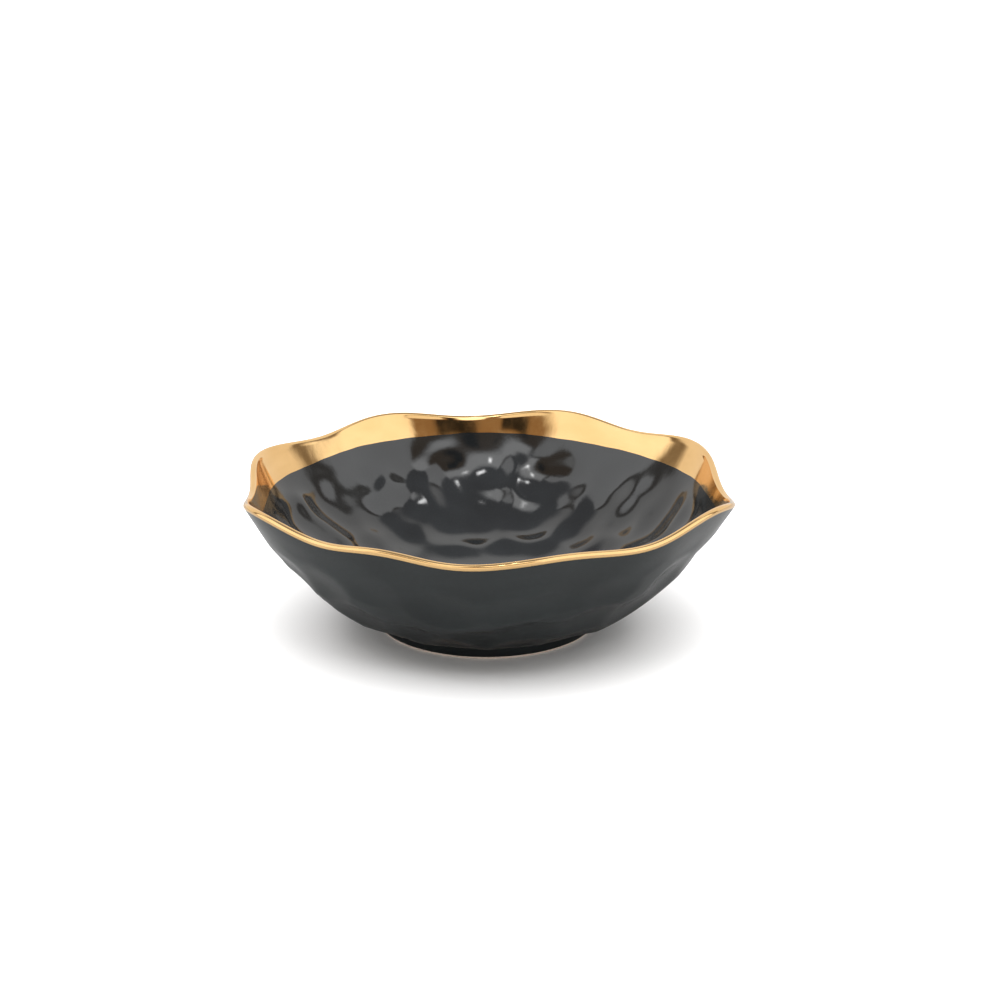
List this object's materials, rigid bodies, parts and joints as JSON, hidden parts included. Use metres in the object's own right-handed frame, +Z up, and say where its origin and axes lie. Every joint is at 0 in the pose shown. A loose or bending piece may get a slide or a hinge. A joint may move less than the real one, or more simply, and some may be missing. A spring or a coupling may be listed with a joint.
{
  "type": "decorative serving bowl",
  "caption": "Shallow black glazed ceramic bowl on a foot ring, with a hammered inside, a waved rim and a gilded lip and band.",
  "frame": {"origin": "centre of the foot ring's resting plane, on the axis of the foot", "axes": "+Z up, out of the bowl's mouth; -Y is the front, where the rim's long shallow dip faces; +X to the right of it"},
  "size_m": [0.1998, 0.2056, 0.0665],
  "materials": {
    "biscuit": "matte, unglazed, faintly pink cream",
    "gloss_black_glaze": "high gloss black glaze over hammered dents",
    "satin_black_glaze": "satin slate-black glaze, slightly green",
    "gold_lustre": "bright fired-on gold lustre, brushed by hand"
  },
  "bodies": {
    "root": {"bowl_body": "biscuit", "foot_ring": "biscuit", "inner_glaze": "gloss_black_glaze", "outer_glaze": "satin_black_glaze", "foot_well_glaze": "satin_black_glaze", "rim_gilding": "gold_lustre"}
  },
  "joints": []
}
